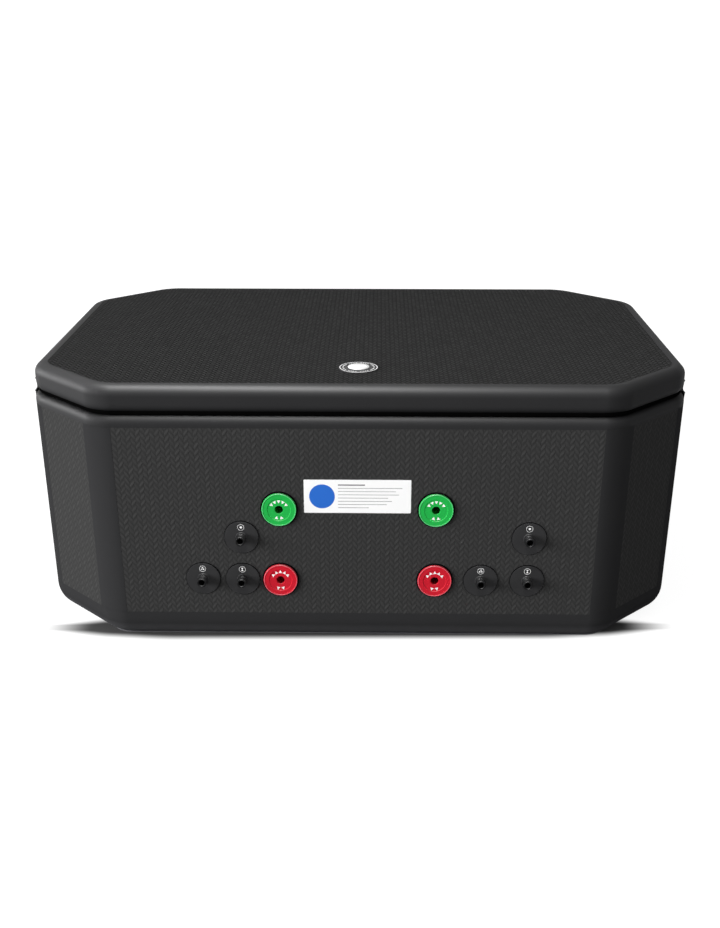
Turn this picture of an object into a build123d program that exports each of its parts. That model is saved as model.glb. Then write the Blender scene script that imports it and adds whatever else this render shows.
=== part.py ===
"""Inflatable octagonal cold plunge tub with an inflatable lid, water ports, hose spigots and lid straps.

Millimetres, +Z up. The origin is on the floor under the middle of the tub, and the ported side faces -Y.
"""

import math
import os

from build123d import *

# Overall form: the plan of the tub
WIDTH, DEPTH = 1600.0, 1100.0  # along X and along Y
CHAMFER = 190.0  # leg of each 45 degree corner
WALL_TOP = 582.0  # top of the rim, where the lid rests
TOTAL_HEIGHT = 650.0  # top of the closed lid
WALL = 120.0  # thickness of the drop-stitch wall
CORNER_R = 88.0  # upright corners of the tub, outside, kept as one flat each
BASE_R = 60.0  # rounding under the tub's sides
RIM_R = 22.0  # rounding of the rim, outside and inside
FLOOR_TOP = 102.0  # top of the inflated floor
LID_INSET = 4.0  # the lid is this much smaller than the tub all round
LID_CORNER_R, LID_EDGE_R = 50.0, 25.0

# Ports on the front wall, as (x, z) of each centre
INLETS = [(-187.0, 353.0), (187.0, 353.0)]
OUTLETS = [(-188.0, 168.0), (188.0, 168.0)]
SPIGOTS = [(-280.0, 280.0), (-281.0, 169.0), (-378.0, 170.0), (300.0, 168.0), (413.0, 168.0), (412.0, 280.0)]
FLANGE_R, FLANGE_T = 41.3, 7.1
DISH_R, DISH_DEPTH = 28.4, 1.0  # shallow dish round the port's mouth
PORT_R, PORT_LENGTH = 10.0, 5.6  # the mouth that a hose connector plugs into
PIPE_R, PIPE_BORE, PIPE_REACH = 19.8, 13.0, 26.0  # the pipe through the wall and how far it stands inside
NUT_ACROSS_CORNERS, NUT_T = 70.0, 12.0
PLATE_R, PLATE_T = 42.5, 2.4
COLLAR_R, COLLAR_TOP = 12.6, 15.0
TIP_R, TIP_BORE, TIP_TOP = 11.0, 7.5, 30.0

# Inflation valves: heights are from the skin round the valve, which is 0
LID_VALVE_AT = (0.0, -380.0)  # on the lid, x and y
WALL_VALVE_AT = (0.0, 330.0)  # on the back wall, x and z
BOSS_R, BOSS_T = 47.5, 2.0  # the ring welded to the skin
WELL_OUT, WELL_IN, WELL_TOP, WELL_LOW = 24.0, 20.0, 3.0, -36.0
POCKET_LOW = -50.0  # room for the valve inside the chamber
WALL_VALVE_LOW = -20.0  # the wall's valve is drawn to here, as far as its cap shows
SPIDER_TOP, SPIDER_T, HUB_R = -23.0, 4.0, 6.5
STEM_R, HEAD_R, HEAD_TOP, HEAD_LOW = 3.0, 6.3, -9.0, -12.0
DISC_R, DISC_T = 22.4, 2.5
CAP_R, CAP_T, PLUG_R, PLUG_LOW = 25.5, 2.4, 19.6, -8.0
GRIP_LENGTH, GRIP_T, GRIP_TOP, GRIP_CHAMFER = 36.0, 7.0, 7.4, 0.8  # the bar across the cap to turn it by
COIL_R, WIRE, COIL_TURNS = 4.9, 0.9, 2.0
COIL_PLAY = 0.05  # between the coil's ends and what they press on
RUNNING = 0.06  # radial clearance of the stem in its hub

# Lid straps, two on each side wall; outwards is measured from the lid's side face
STRAP_Y, STRAP_W = 300.0, 38.0
HINGE_OUT, HINGE_Z, ROLL_R = 2.8, 604.4, 2.4
SEWN_MARGIN = 4.0  # hems and patches are this much wider than the strap
HEM_T, HEM_LOW, HEM_HIGH = 1.4, 607.5, 624.5
PATCH_T, PATCH_LOW, PATCH_HIGH = 2.2, 503.0, 551.0

INNER_FACE = -WALL  # the wall's inner face, as seen from its outer one
LID_X = WIDTH / 2 - LID_INSET

os.makedirs("parts", exist_ok=True)


def save(name, *solids):
    export_step(Compound(children=list(solids)), f"parts/{name}.step")


def prism(inset, low, high, corner=0.0):
    """The tub's octagonal plan, moved inwards by inset, between two heights.

    A corner radius becomes the flat that touches its arc halfway round.
    """
    x, y = WIDTH / 2 - inset, DEPTH / 2 - inset
    leg = CHAMFER - inset * (2 - math.sqrt(2))
    half = [(x - leg, -y), (x, -y + leg), (x, y - leg), (x - leg, y)]
    plan = make_face(Polyline(*half, *[(-a, -b) for a, b in half], close=True))
    block = extrude(Pos(0, 0, low) * plan, high - low)
    if not corner:
        return block
    turn = math.radians(45)
    cut = corner * (math.tan(turn / 2) - math.tan(turn / 4))
    return chamfer(block.edges().filter_by(Axis.Z), cut)


def turned(*points):
    """A solid of revolution about Z from (radius, height) points."""
    return revolve(Plane.XZ * make_face(Polyline(*points, close=True)), Axis.Z)


def drilled(radius, low, high):
    return Pos(0, 0, (low + high) / 2) * Cylinder(radius, high - low)


def on_front(x, z):
    """Where a fitting drawn pointing up goes on the front wall."""
    return Pos(x, -DEPTH / 2, z) * Rot(90, 0, 0)


def on_back(x, z):
    return Pos(x, DEPTH / 2, z) * Rot(-90, 0, 0)


def valve_seat(chamber, place, pocket_r, pocket_low):
    """The chamber with a valve's welded ring on its skin and a pocket in it."""
    ring = place * drilled(BOSS_R, 0, BOSS_T)
    return chamber + ring - place * drilled(pocket_r, pocket_low, BOSS_T)


# Tub: a drop-stitch wall bent into an octagon, with a rounded rim and foot, round an inflated floor
def tub_wall():
    block = prism(0, 0, WALL_TOP, CORNER_R)
    block = fillet(block.faces().sort_by(Axis.Z)[0].edges(), BASE_R)
    ring = block - prism(WALL, -1, WALL_TOP + 1)
    ring = fillet(ring.faces().sort_by(Axis.Z)[-1].edges(), RIM_R)
    for x, z in INLETS + OUTLETS:
        ring -= on_front(x, z) * drilled(PIPE_R, INNER_FACE - 1, 1)
    return valve_seat(ring, on_back(*WALL_VALVE_AT), WELL_IN, WALL_VALVE_LOW)


def tub_floor():
    return prism(WALL, 0, FLOOR_TOP)


# Lid: one drop-stitch board, rounded all round, that rests on the rim
def lid_board(valve_place):
    board = prism(LID_INSET, WALL_TOP, TOTAL_HEIGHT, LID_CORNER_R)
    board = fillet(board.faces().sort_by(Axis.Z)[0].edges(), LID_EDGE_R)
    board = fillet(board.faces().sort_by(Axis.Z)[-1].edges(), LID_EDGE_R)
    return valve_seat(board, valve_place, WELL_OUT, POCKET_LOW)


# Water port: a dished flange with a stepped bore, moulded on a pipe that passes through the wall
def water_port():
    dish = FLANGE_T - DISH_DEPTH
    return turned(
        (PORT_R, dish - PORT_LENGTH),
        (PORT_R, dish),
        (DISH_R, dish),
        (DISH_R, FLANGE_T),
        (FLANGE_R, FLANGE_T),
        (FLANGE_R, 0),
        (PIPE_R, 0),
        (PIPE_R, INNER_FACE - PIPE_REACH),
        (PIPE_BORE, INNER_FACE - PIPE_REACH),
        (PIPE_BORE, dish - PORT_LENGTH),
    )


def port_nut():
    nut = extrude(RegularPolygon(NUT_ACROSS_CORNERS / 2, 6), NUT_T)
    return Pos(0, 0, INNER_FACE - NUT_T) * nut - drilled(PIPE_R, INNER_FACE - NUT_T - 1, INNER_FACE)


def strainer():
    """A slotted disc that closes the inner end of an outlet's pipe."""
    thickness, slot, pitch = 6.0, 3.2, 7.0
    disc = drilled(PIPE_R + 4, -thickness, 0)
    for k in range(-2, 3):
        length = 2 * math.sqrt((PIPE_BORE + 4) ** 2 - (pitch * k) ** 2)
        disc -= Pos(pitch * k, 0, -thickness / 2) * Box(slot, length, 2 * thickness)
    return Pos(0, 0, INNER_FACE - PIPE_REACH) * disc


# Hose spigot: a round plate with a collar and a bored tip
def spigot():
    return turned(
        (0, 0),
        (PLATE_R, 0),
        (PLATE_R, PLATE_T),
        (COLLAR_R, PLATE_T),
        (COLLAR_R, COLLAR_TOP),
        (TIP_R, COLLAR_TOP),
        (TIP_R, TIP_TOP),
        (TIP_BORE, TIP_TOP),
        (TIP_BORE, PLATE_T),
        (0, PLATE_T),
    )


# Inflation valve: a well with a spider, a sprung pin with its sealing disc, a coil spring and a plug cap
def valve_well():
    tube = drilled(WELL_OUT, WELL_LOW, WELL_TOP) - drilled(WELL_IN, WELL_LOW, WELL_TOP)
    middle = Pos(0, 0, SPIDER_TOP - SPIDER_T / 2)
    arms = Box(2 * WELL_IN + 2, 3, SPIDER_T) + Box(3, 2 * WELL_IN + 2, SPIDER_T)
    return tube + middle * (Cylinder(HUB_R, SPIDER_T) + arms - Cylinder(STEM_R + RUNNING, SPIDER_T))


def valve_pin():
    return turned(
        (0, WELL_LOW - DISC_T),
        (DISC_R, WELL_LOW - DISC_T),
        (DISC_R, WELL_LOW),
        (STEM_R, WELL_LOW),
        (STEM_R, HEAD_LOW),
        (HEAD_R, HEAD_LOW),
        (HEAD_R, HEAD_TOP),
        (0, HEAD_TOP),
    )


def valve_spring():
    """Square wire, wound between the spider and the pin's head."""
    low = SPIDER_TOP + WIRE / 2 + COIL_PLAY
    height = HEAD_LOW - WIRE / 2 - COIL_PLAY - low
    helix = Helix(pitch=height / COIL_TURNS, height=height, radius=COIL_R)
    print(f"least gap in the coil {least_gap(helix):.2f} mm")
    section = Plane(origin=helix @ 0, x_dir=(1, 0, 0), z_dir=helix % 0) * Rectangle(WIRE, WIRE)
    return Pos(0, 0, low) * sweep(section, path=helix, is_frenet=True)


def least_gap(helix):
    """The least distance between points a half turn or more apart, less the wire."""
    steps = round(72 * COIL_TURNS)
    points = [helix @ (k / steps) for k in range(steps + 1)]
    pairs = [(a, b) for k, a in enumerate(points) for b in points[k + 36 :]]
    return min((a - b).length for a, b in pairs) - WIRE


def valve_cap(seat):
    """A plug cap that rests at the height of its seat, with a bar to turn it by."""
    top = seat + CAP_T
    cap = turned((0, PLUG_LOW), (PLUG_R, PLUG_LOW), (PLUG_R, seat), (CAP_R, seat), (CAP_R, top), (0, top))
    grip = Pos(0, 0, GRIP_TOP / 2) * Box(GRIP_LENGTH, GRIP_T, GRIP_TOP)
    return cap + chamfer(grip.faces().sort_by(Axis.Z)[-1].edges(), GRIP_CHAMFER)


# Lid strap: a tongue folded over the gap, hinged at a sewn hem on the lid, over a loop patch on the tub
def strap_tongue():
    side = [
        (HINGE_OUT + 1.6, HINGE_Z),
        (2.6, 590.0),
        (1.8, 584.0),
        (5.6, 577.5),
        (11.6, 575.5),
        (11.6, 572.0),
        (9.4, 569.0),
        (9.4, 540.0),
        (8.8, 530.0),
        (8.0, 528.0),
        (7.0, 528.0),
        (7.0, 567.0),
        (0.4, 580.0),
        (-0.4, 586.0),
        (HINGE_OUT - 1.6, HINGE_Z),
    ]
    outline = make_face(Polyline(*side, close=True)) + Pos(HINGE_OUT, HINGE_Z) * Circle(ROLL_R)
    return Pos(0, STRAP_W / 2, 0) * extrude(Plane.XZ * outline, STRAP_W)


def sewn_on(thickness, low, high):
    return Pos(thickness / 2, 0, (low + high) / 2) * Box(thickness, STRAP_W + SEWN_MARGIN, high - low)


save("wall_chamber", tub_wall())
save("floor_chamber", tub_floor())
lid_valve_place = Pos(*LID_VALVE_AT, TOTAL_HEIGHT)
save("lid_chamber", lid_board(lid_valve_place))

ports = [on_front(x, z) for x, z in INLETS + OUTLETS]
save("inlet_ports", *[place * water_port() for place in ports[:2]])
save("outlet_ports", *[place * water_port() for place in ports[2:]])
save("port_nuts", *[place * port_nut() for place in ports])
save("outlet_strainers", *[place * strainer() for place in ports[2:]])
save("spigots", *[on_front(x, z) * spigot() for x, z in SPIGOTS])

save("lid_valve_well", lid_valve_place * valve_well())
save("lid_valve_pin", lid_valve_place * valve_pin())
save("lid_valve_spring", lid_valve_place * valve_spring())
save("lid_valve_cap", lid_valve_place * valve_cap(WELL_TOP))
save("wall_valve_cap", on_back(*WALL_VALVE_AT) * valve_cap(BOSS_T))

for end, y in (("front", -STRAP_Y), ("back", STRAP_Y)):
    for side, turn, across in (("right", 0, y), ("left", 180, -y)):
        lid_side = Rot(0, 0, turn) * Pos(LID_X, across, 0)
        tub_side = Rot(0, 0, turn) * Pos(WIDTH / 2, across, 0)
        save(f"strap_{end}_{side}", lid_side * strap_tongue())
        save(f"strap_hem_{end}_{side}", lid_side * sewn_on(HEM_T, HEM_LOW, HEM_HIGH))
        save(f"loop_patch_{end}_{side}", tub_side * sewn_on(PATCH_T, PATCH_LOW, PATCH_HIGH))
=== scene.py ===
"""An inflatable eight-sided cold plunge tub with its lid, water ports, hose spigots and lid straps."""

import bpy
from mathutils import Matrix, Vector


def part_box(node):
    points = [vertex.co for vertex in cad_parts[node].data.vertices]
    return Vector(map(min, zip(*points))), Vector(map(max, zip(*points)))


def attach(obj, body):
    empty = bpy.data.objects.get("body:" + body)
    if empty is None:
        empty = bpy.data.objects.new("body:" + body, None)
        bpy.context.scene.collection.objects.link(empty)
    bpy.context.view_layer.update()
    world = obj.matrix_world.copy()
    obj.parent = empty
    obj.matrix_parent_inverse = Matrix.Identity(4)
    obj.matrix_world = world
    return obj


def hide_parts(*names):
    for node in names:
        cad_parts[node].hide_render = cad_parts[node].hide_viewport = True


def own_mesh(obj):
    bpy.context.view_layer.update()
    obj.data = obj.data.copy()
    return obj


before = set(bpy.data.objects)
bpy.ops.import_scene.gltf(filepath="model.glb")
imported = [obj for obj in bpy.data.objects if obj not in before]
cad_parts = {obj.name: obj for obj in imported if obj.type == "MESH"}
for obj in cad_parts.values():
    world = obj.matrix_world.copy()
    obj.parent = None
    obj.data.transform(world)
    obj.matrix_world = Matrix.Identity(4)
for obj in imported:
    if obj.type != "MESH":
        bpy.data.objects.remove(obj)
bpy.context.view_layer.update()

import math

import bmesh
import bpy
from mathutils import Matrix, Vector

# Bath floor: an inflated drop-stitch board that fills the ring of the wall and carries the bather.
# It is PVC on a knitted core, smooth and charcoal, and its rounded edge is welded to the wall.
# It starts as a block, its corners are bevelled off, and its top edge is rounded.
MM = 0.001
LENGTH, DEPTH, CHAMFER = 1600 * MM, 1100 * MM, 190 * MM
WALL_T, WALL_TOP = 120 * MM, 582 * MM
FLOOR_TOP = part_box("floor_chamber")[1].z
FLOOR_LOW, FLOOR_EDGE_R, EDGE_STEPS = 2 * MM, 16 * MM, 6
WELD_OVERLAP = 1 * MM
NEAR = 0.01 * MM
MOTTLE = 111 * MM


def linear(code):
    """An sRGB hex code as a linear RGBA colour."""
    parts = [int(code[k : k + 2], 16) / 255 for k in (0, 2, 4)]
    return (*[c / 12.92 if c <= 0.04045 else ((c + 0.055) / 1.055) ** 2.4 for c in parts], 1.0)


def tone(code, level):
    """A colour from an sRGB hex code, lightened or darkened to this level of its brightness."""
    return (*[c * level for c in linear(code)[:3]], 1.0)


def node(tree, kind, *values, **settings):
    """Adds a node of a kind, such as "Bump" or "Math ADD". Values fill its inputs in order, and settings
    name its properties or inputs, where _6 is input 6. A node as a value stands for its first output.
    """
    kind, *operations = kind.split()
    made = tree.nodes.new("ShaderNode" + kind)
    for operation in operations:
        made.operation = operation
    for key, value in [*settings.items(), *((f"_{k}", value) for k, value in enumerate(values))]:
        if hasattr(made, key):
            setattr(made, key, value)
            continue
        socket = made.inputs[int(key[1:]) if key[0] == "_" else key.replace("_", " ")]
        if isinstance(value, bpy.types.Node):
            value = value.outputs[0]
        if isinstance(value, bpy.types.NodeSocket):
            tree.links.new(value, socket)
        else:
            socket.default_value = value
    return made


def material(name, code, roughness, metallic=0.0, specular=0.5):
    """A new material with its main values, and its tree and shader to build on."""
    made = bpy.data.materials.new(name)
    made.use_nodes = True
    tree = made.node_tree
    shader = tree.nodes["Principled BSDF"]
    shader.inputs["Base Color"].default_value = linear(code)
    shader.inputs["Roughness"].default_value = roughness
    shader.inputs["Metallic"].default_value = metallic
    shader.inputs["Specular IOR Level"].default_value = specular
    made.diffuse_color = linear(code)
    return made, tree, shader


def surfaced(tree, shader, relief, depth, code, lightness, dark, light):
    """Gives a shader its relief, and a colour that runs from a darker to a lighter tone."""
    bump = node(tree, "Bump", Height=relief, Distance=depth, Strength=1.0)
    tree.links.new(bump.outputs["Normal"], shader.inputs["Normal"])
    mix = node(tree, "Mix", lightness, data_type="RGBA", _6=tone(code, dark), _7=tone(code, light))
    tree.links.new(mix.outputs[2], shader.inputs["Base Color"])


def grained(name, code, roughness, grain, depth, mottle=0.12, **values):
    """A moulded or calendered surface: a fine grain in its height and a faint mottle in its colour."""
    made, tree, shader = material(name, code, roughness, **values)
    place = node(tree, "TexCoord").outputs["Object"]
    fine = node(tree, "TexNoise", Vector=place, Scale=1 / grain, Detail=3.0)
    broad = node(tree, "TexNoise", Vector=place, Scale=1 / MOTTLE, Detail=2.0)
    surfaced(tree, shader, fine, depth, code, broad, 1 - mottle, 1 + mottle)
    wear = node(tree, "MapRange", fine, To_Min=roughness - 0.04, To_Max=roughness + 0.05)
    tree.links.new(wear.outputs["Result"], shader.inputs["Roughness"])
    return made


def settle():
    """Applies the chosen pieces' place, turn and size, so that their origin is the scene's."""
    bpy.ops.object.transform_apply(location=True, rotation=True, scale=True)


def alone(obj=None):
    """Leaves only this object selected and active, or none."""
    bpy.ops.object.select_all(action="DESELECT")
    if obj:
        obj.select_set(True)
        bpy.context.view_layer.objects.active = obj


def edit(obj):
    """Opens a piece's mesh in edit mode."""
    alone(obj)
    bpy.ops.object.mode_set(mode="EDIT")


def done():
    """Leaves edit mode with normals outwards, and places the object at the origin."""
    bpy.ops.mesh.select_all(action="SELECT")
    bpy.ops.mesh.normals_make_consistent(inside=False)
    bpy.ops.object.mode_set(mode="OBJECT")
    settle()


def pick(kind, test):
    """Selects, in edit mode, the verts, edges or faces that pass the test."""
    bpy.ops.mesh.select_mode(type=kind[:-1].upper())
    bpy.ops.mesh.select_all(action="DESELECT")
    mesh = bmesh.from_edit_mesh(bpy.context.edit_object.data)
    for e in [e for e in getattr(mesh, kind) if test(e)]:
        e.select_set(True)
    mesh.select_flush_mode()
    bmesh.update_edit_mesh(bpy.context.edit_object.data)


def upright(edge):
    """True for an edge that stands straight up."""
    a, b = (v.co for v in edge.verts)
    return abs(a.x - b.x) + abs(a.y - b.y) < NEAR


def level(edge, z):
    """True for an edge that lies at a height."""
    return all(abs(v.co.z - z) < NEAR for v in edge.verts)


def round_off(radius, segments, turn=90):
    """Rounds the chosen edges, where two faces meet at that turn, by a radius."""
    reach = radius * math.tan(math.radians(turn / 2))
    bpy.ops.mesh.bevel(offset_type="OFFSET", offset=reach, segments=segments, profile=0.5, affect="EDGES")


def added(name):
    """The piece just added, named and with its place and size applied."""
    settle()
    bpy.context.object.name = name
    return bpy.context.object


def rod(name, sides, radius, length, at, turn=(0, 0, 0)):
    """A round or many-sided bar with this middle, turned from upright by these angles."""
    alone()
    bpy.ops.mesh.primitive_cylinder_add(
        vertices=sides, radius=radius, depth=length, location=at, rotation=turn
    )
    return added(name)


def eight_sided(name, inset, low, high):
    """A block of the tub's plan, moved inwards by inset. It stays in edit mode."""
    alone()
    size = (LENGTH - 2 * inset, DEPTH - 2 * inset, high - low)
    bpy.ops.mesh.primitive_cube_add(size=1, location=(0, 0, (low + high) / 2), scale=size)
    obj = added(name)
    edit(obj)
    pick("edges", upright)
    leg = CHAMFER - inset * (2 - math.sqrt(2))
    bpy.ops.mesh.bevel(offset_type="OFFSET", offset=leg, segments=1, affect="EDGES")
    return obj


def modified(obj, kind, **settings):
    """Applies a modifier with these settings to a piece."""
    alone(obj)
    bpy.ops.object.modifier_add(type=kind)
    for key, value in settings.items():
        setattr(obj.modifiers[-1], key, value)
    bpy.ops.object.modifier_apply(modifier=obj.modifiers[-1].name)


def smooth(obj, angle=35):
    """Smooth shading on rounded stretches, with flat faces kept flat."""
    alone(obj)
    bpy.ops.object.shade_smooth_by_angle(angle=math.radians(angle))
    modified(obj, "WEIGHTED_NORMAL", keep_sharp=True)


def coat(obj, *finishes):
    """Gives a piece these finishes in place of what it had."""
    obj.data.materials.clear()
    for finish in finishes:
        obj.data.materials.append(finish)


def finish_piece(obj, finishes, body, replaced=()):
    """Gives a piece its finishes, its body and the CAD nodes that it stands for."""
    if not isinstance(finishes, (list, tuple)):
        finishes = [finishes]
    coat(obj, *finishes)
    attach(obj, body)
    if replaced:
        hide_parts(*replaced)


# Calendered PVC: the rollers leave a fine grain and a satin sheen, and the colour mottles faintly
floor_pvc = grained("calendered_pvc_floor", "303133", 0.5, 1.5 * MM, 0.05 * MM)
bath_floor = eight_sided("bath_floor_board", WALL_T - WELD_OVERLAP, FLOOR_LOW, FLOOR_TOP)
pick("edges", lambda e: level(e, FLOOR_TOP))
round_off(FLOOR_EDGE_R, EDGE_STEPS)
done()
smooth(bath_floor)
finish_piece(bath_floor, floor_pvc, "tub", ["floor_chamber"])

# Tub wall: a drop-stitch ring, 120 mm thick, whose two PVC skins are held apart by threads.
# Its outer skin is embossed with a herringbone of short strokes, and its inner skin is smooth.
# The ring is cut from an eight-sided block, and its corners, foot and rim are rounded.
TAPE_T = 0.3 * MM
CORNER_R, INNER_CORNER_R = 88 * MM, 24 * MM
FOOT_R, RIM_R = 60 * MM, 22 * MM
FOOT_STEPS, RIM_STEPS, CORNER_STEPS = 12, 8, 10
EIGHTH = 45
FLAT = 0.999
HOLE_FACETS, CLEAR = 64, 50 * MM
STROKE_W, STROKE_PITCH, STROKE_SLOPE, STROKE_STAGGER = 11.2 * MM, 16 * MM, 1.05, 0.44
STROKE_TAPER, STROKE_EDGE, STROKE_CREST, FAINTEST = 0.4, 0.95, 0.15, 0.55
# How far the painted shade darkens the gaps and the painted light lightens the strokes
DARKER, LIGHTER = 0.16, 0.34
EASED = {"interpolation_type": "SMOOTHSTEP"}


def herringbone(name, code, roughness, lying, depth=0.7 * MM, contrast=1.0, lean_shade=0.35):
    """Embossed PVC: columns of slanted strokes that lean right and left in turn, each in its own relief. Its
    colour holds painted light and shade: the strokes are painted lighter, the gaps darker, and the columns
    that lean left darker by a share.
    """
    made, tree, shader = material(name, code, roughness, specular=0.0)
    where = node(tree, "TexCoord").outputs
    at = node(tree, "SeparateXYZ", where["Object"]).outputs
    if lying:
        across, along = at["X"], at["Y"]
    else:
        side = node(tree, "VectorMath CROSS_PRODUCT", (0, 0, 1), where["Normal"])
        run = node(tree, "VectorMath DOT_PRODUCT", where["Object"], side)
        across, along = run.outputs["Value"], at["Z"]

    def off_middle(value):
        """0 in the middle of each whole step of a value, and 1 at its ends."""
        part = node(tree, "Math FRACT", value)
        twice = node(tree, "Math MULTIPLY_ADD", part, 2.0, -1.0)
        return node(tree, "Math ABSOLUTE", twice)

    column = node(tree, "Math DIVIDE", across, STROKE_W)
    column_number = node(tree, "Math FLOOR", column)
    left_leaning = node(tree, "Math FLOORED_MODULO", column_number, 2.0)
    lean = node(tree, "Math PINGPONG", column, 1.0)
    height = node(tree, "Math DIVIDE", along, STROKE_PITCH)
    rows = node(tree, "Math MULTIPLY_ADD", lean, -STROKE_SLOPE * STROKE_W / STROKE_PITCH, height)
    rows = node(tree, "Math MULTIPLY_ADD", left_leaning, STROKE_STAGGER, rows)
    narrowed = node(tree, "Math POWER", off_middle(column), 3.0)
    taper = node(tree, "Math MULTIPLY", narrowed, STROKE_TAPER)
    across_stroke = node(tree, "Math ADD", off_middle(rows), taper)
    stroke = node(tree, "MapRange", across_stroke, STROKE_EDGE, STROKE_CREST, **EASED)
    cell = node(tree, "CombineXYZ", column_number, node(tree, "Math FLOOR", rows))
    chance = node(tree, "TexWhiteNoise", Vector=cell, noise_dimensions="2D")
    boldness = node(tree, "MapRange", chance, To_Min=FAINTEST, To_Max=1.0)
    relief = node(tree, "Math MULTIPLY", stroke, boldness)
    # Painted shade: the columns that lean left get a darker colour, as if turned away from the light
    lean_shaded = node(tree, "Math MULTIPLY_ADD", left_leaning, -lean_shade, 1.0)
    lightness = node(tree, "Math MULTIPLY", relief, lean_shaded)
    # Painted light and shade: the raised strokes are coloured lighter and the gaps between them darker
    surfaced(tree, shader, relief, depth, code, lightness, 1 - DARKER * contrast, 1 + LIGHTER * contrast)
    return made


def cut_round(obj, radius, start, end):
    """Takes a round hole out of a piece, from start to end."""
    way = end - start
    turn = way.to_track_quat("Z", "Y").to_euler()
    drill = rod("drill", HOLE_FACETS, radius, way.length, (start + end) / 2, turn)
    modified(obj, "BOOLEAN", object=drill, operation="DIFFERENCE")
    bpy.data.objects.remove(drill)


def copied(obj, name):
    """A copy of a piece with its own mesh."""
    made = obj.copy()
    made.data = obj.data.copy()
    made.name = name
    bpy.context.collection.objects.link(made)
    return made


def joined(parts, name):
    """One piece made of several."""
    alone(parts[0])
    for part in parts[1:]:
        part.select_set(True)
    bpy.ops.object.join()
    parts[0].name = name
    return parts[0]


# PVC embossed by a patterned roller: matt charcoal whose raised strokes catch the light; painted light and
# shade in its colour make the strokes lighter, the gaps darker and the left-leaning columns darker
wall_weave = herringbone("herringbone_embossed_pvc_wall", "383838", 0.6, lying=False, contrast=0.7)
# Calendered PVC without a pattern: a shade bluer and glossier than the skin outside
inner_pvc = grained("calendered_pvc_liner", "343537", 0.45, 1.5 * MM, 0.05 * MM)

wall_low, wall_high = TAPE_T, WALL_TOP - TAPE_T
FOOT_IN, RIM_IN = FOOT_R - TAPE_T, RIM_R - TAPE_T
INNER_X, INNER_Y = LENGTH / 2 - WALL_T, DEPTH / 2 - WALL_T
INNER_SUM = (LENGTH + DEPTH) / 2 - 2 * WALL_T - CHAMFER + WALL_T * (2 - math.sqrt(2))


def on_inside(point):
    """True for a point within the ring's inner outline."""
    slip = 1 * MM
    within = abs(point.x) < INNER_X + slip and abs(point.y) < INNER_Y + slip
    return within and abs(point.x) + abs(point.y) < INNER_SUM + slip


# The outside: a block with rounded corners, foot and rim, open above and below
wall = eight_sided("drop_stitch_wall", TAPE_T, wall_low, wall_high)
pick("edges", upright)
round_off(CORNER_R, CORNER_STEPS, EIGHTH)
pick("edges", lambda e: level(e, wall_low))
round_off(FOOT_IN, FOOT_STEPS)
pick("edges", lambda e: level(e, wall_high))
round_off(RIM_IN, RIM_STEPS)
pick("faces", lambda f: abs(f.normal.z) > FLAT)
bpy.ops.mesh.delete(type="FACE")
done()
# The inside: one face at the rim, inset round the rim's curve and then drawn down to the foot
inside = eight_sided("inside", WALL_T - RIM_IN, wall_low, wall_high)
pick("edges", upright)
round_off(INNER_CORNER_R + RIM_IN, CORNER_STEPS, EIGHTH)
pick("faces", lambda f: f.normal.z < 0.5)
bpy.ops.mesh.delete(type="FACE")
bpy.ops.mesh.select_mode(type="FACE")
bpy.ops.mesh.select_all(action="SELECT")
for k in range(RIM_STEPS):
    a, b = (math.pi / 2 * n / RIM_STEPS for n in (k, k + 1))
    inwards, down = RIM_IN * (math.sin(b) - math.sin(a)), RIM_IN * (math.cos(a) - math.cos(b))
    bpy.ops.mesh.inset(thickness=inwards, depth=-down, use_even_offset=True)
bpy.ops.mesh.extrude_region_move(TRANSFORM_OT_translate={"value": (0, 0, wall_low + RIM_IN - wall_high)})
bpy.ops.mesh.delete(type="FACE")
bpy.ops.object.mode_set(mode="OBJECT")
joined([wall, inside], "drop_stitch_wall")
edit(wall)
for z in (wall_low, wall_high):
    pick("edges", lambda e: level(e, z) and e.is_boundary)
    bpy.ops.mesh.bridge_edge_loops()
done()

wall_template = copied(wall, "wall_template")

FRONT_Y = -DEPTH / 2
PIPE_R = 19.8 * MM
INLETS = [(-187 * MM, 353 * MM), (187 * MM, 353 * MM)]
OUTLETS = [(-188 * MM, 168 * MM), (188 * MM, 168 * MM)]
for x, z in INLETS + OUTLETS:
    cut_round(wall, PIPE_R, Vector((x, FRONT_Y - CLEAR, z)), Vector((x, FRONT_Y + WALL_T + CLEAR, z)))
VALVE_X, VALVE_Z = 0.0, 330 * MM
WELL_R, WELL_DEPTH = 20 * MM, 20 * MM
BACK_Y = DEPTH / 2
well_end = Vector((VALVE_X, BACK_Y - WELL_DEPTH, VALVE_Z))
cut_round(wall, WELL_R, Vector((VALVE_X, BACK_Y + CLEAR, VALVE_Z)), well_end)
smooth(wall)
finish_piece(wall, [wall_weave, inner_pvc], "tub", ["wall_chamber"])
# The inner skin's faces get the smooth liner finish
for face in wall.data.polygons:
    outwards = Vector((face.center.x, face.center.y, 0))
    face.material_index = 1 if on_inside(face.center) and face.normal.dot(outwards) < 0 else 0

# Tapes of the tub: strips of smooth PVC, 0.3 mm thick, heat-welded over every seam of the skin.
# One runs round the rim, one round the foot, and one covers each rounded upright corner.
# Each is the wall's own skin again, trimmed to the strip and thickened outwards.
FOOT_BAND_TOP, RIM_BAND_LOW = 76 * MM, 553 * MM
FRONT_REACH, SIDE_REACH = 48 * MM, 37 * MM
CORNER_HALF, CORNER_MID = CHAMFER / math.sqrt(2), (LENGTH - DEPTH) / 2 / math.sqrt(2)
CORNER_SUM = (LENGTH + DEPTH) / 2 - CHAMFER - 1 * MM
FOOT_BAND_LOW = 2.2 * MM
GAP_LOW, GAP_HIGH = (0, -12 * MM), (2 * MM, 20 * MM)
# Smooth calendered PVC, heat-welded: satin, with soft streaks of light on its curves, and painted shade that
# fades it to black in the gap under the lid
smooth_pvc = grained("smooth_welded_pvc_tape", "2A2A2B", 0.56, 2.2 * MM, 0.02 * MM, 0.04, specular=0.02)


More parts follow.
